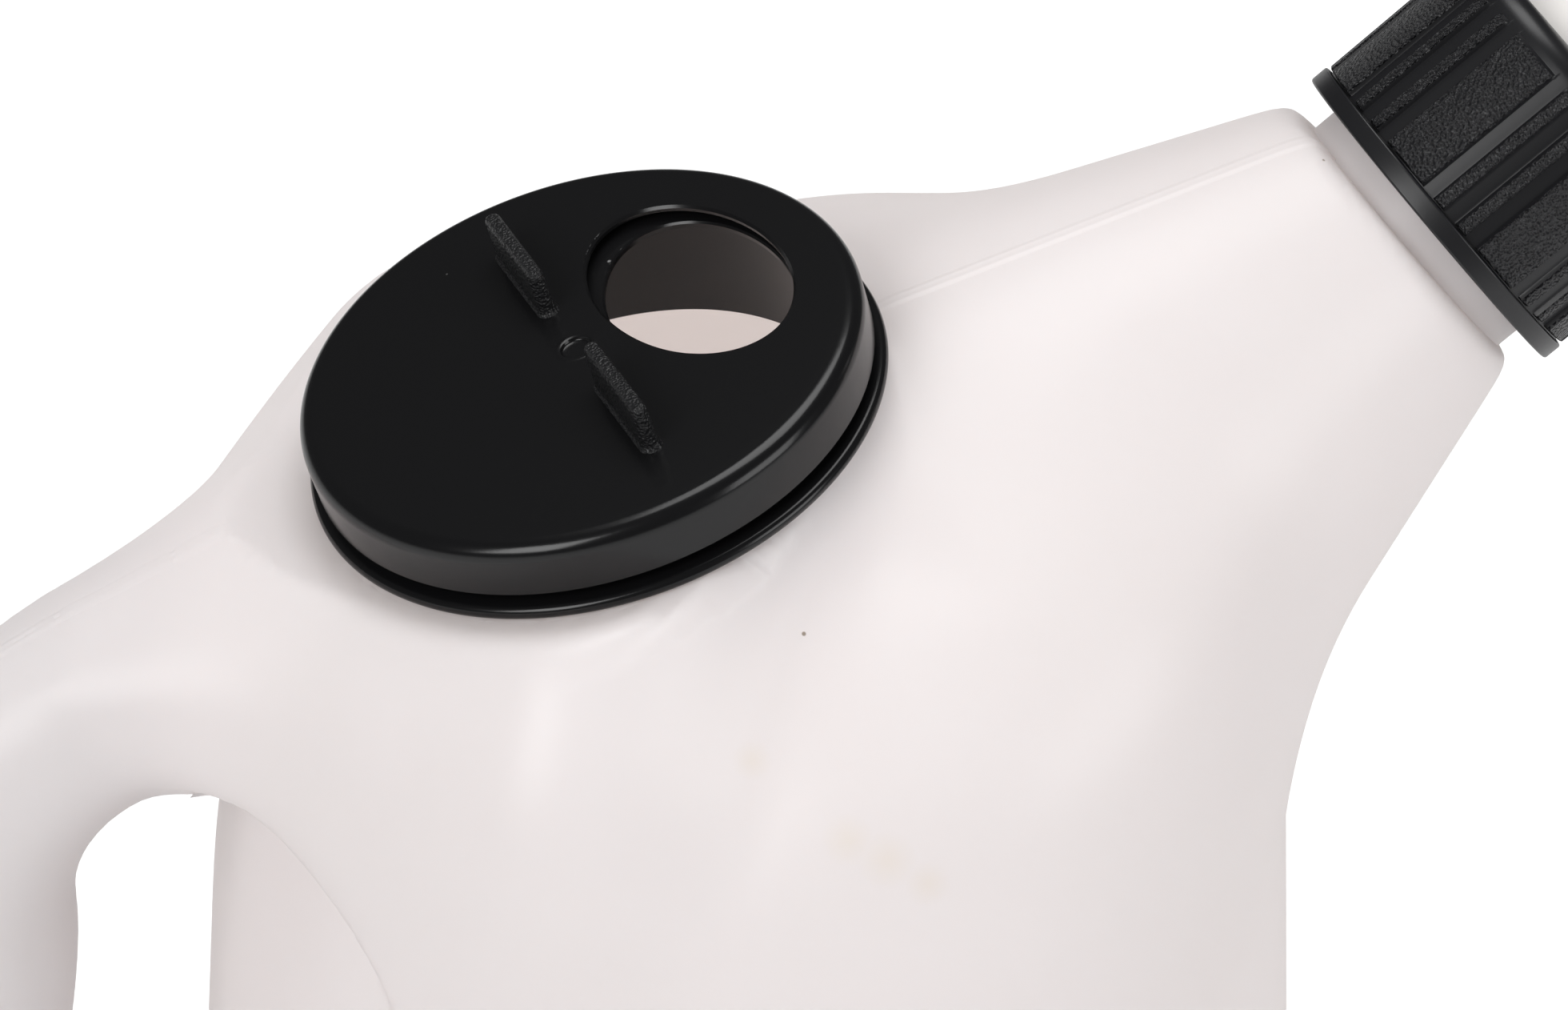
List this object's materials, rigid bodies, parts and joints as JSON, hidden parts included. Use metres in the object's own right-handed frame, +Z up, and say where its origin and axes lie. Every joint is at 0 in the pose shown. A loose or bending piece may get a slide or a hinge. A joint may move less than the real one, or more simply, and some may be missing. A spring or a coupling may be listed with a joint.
{
  "type": "workshop fluid jug",
  "caption": "Blown plastic jug with a hollow handle, a turning lid with an oval filling hole and a ribbed screw collar that holds a flexible pouring spout.",
  "frame": {"origin": "middle of the flat base", "axes": "+Z up, +X towards the pouring spout, -X towards the handle"},
  "size_m": [0.4367, 0.2166, 0.3656],
  "materials": {
    "natural_plastic": "translucent natural polyethylene, satin",
    "black_lid_plastic": "satin black",
    "black_collar_plastic": "black with grained ribs",
    "seal_rubber": "plain",
    "spout_plastic": "soft pale polyethylene"
  },
  "bodies": {
    "jug": {"jug_body": "natural_plastic"},
    "lid": {"lid_base": "black_lid_plastic"},
    "cover": {"lid_cover": "black_lid_plastic"},
    "spout_unit": {"spout": "spout_plastic", "spout_washer": "seal_rubber"},
    "collar_ring": {"collar": "black_collar_plastic"}
  },
  "joints": [
    {"name": "lid_lift", "type": "slide", "parent": "jug", "child": "lid", "axis": [-0.2622, 0, 0.965], "range_m": [0, 0.018]},
    {"name": "cover_turn", "type": "hinge", "parent": "lid", "child": "cover", "pos_m": [-0.0325, 0, 0.25], "axis": [-0.2622, 0, 0.965], "continuous": true},
    {"name": "spout_travel", "type": "slide", "parent": "jug", "child": "spout_unit", "axis": [0.7738, 0, 0.6334], "range_m": [0, 0.0101]},
    {"name": "collar_turn", "type": "hinge", "parent": "spout_unit", "child": "collar_ring", "pos_m": [0.13764, 0, 0.25777], "axis": [0.7738, 0, 0.6334], "range_deg": [0, 900]}
  ],
  "couplings": [
    {"joint": "spout_travel", "follows": "collar_turn", "m_per_rad": 0.00063662}
  ]
}
